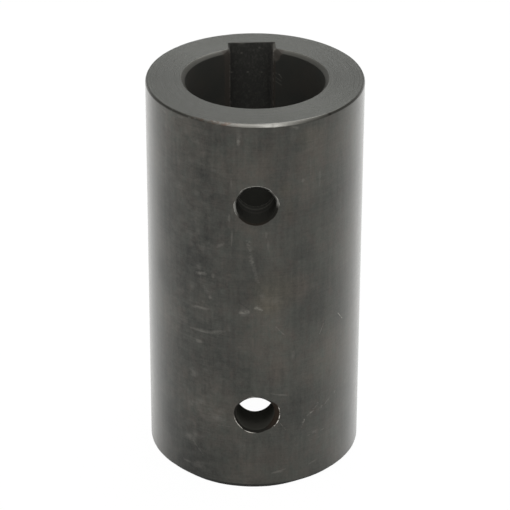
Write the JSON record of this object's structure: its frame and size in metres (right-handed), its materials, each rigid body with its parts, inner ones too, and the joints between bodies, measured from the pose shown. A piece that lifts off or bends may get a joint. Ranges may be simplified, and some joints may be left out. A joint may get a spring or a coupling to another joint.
{
  "type": "coupling sleeve",
  "caption": "Plain steel tube sleeve that joins two shaft ends end to end, with a keyway along its bore and cross holes for pins or bolts through its wall.",
  "frame": {"origin": "centre of the lower end face, on the bore axis, which the sleeve stands on", "axes": "+Z along the bore axis from the lower end face to the upper one; the cross holes open towards -Y and the keyway lies on the +Y side"},
  "size_m": [0.05, 0.05, 0.095],
  "materials": {
    "blackened_steel": "black oxide over turned steel, satin, handled and rubbed bright at the edges"
  },
  "bodies": {
    "root": {"coupling_sleeve": "blackened_steel"}
  },
  "joints": []
}
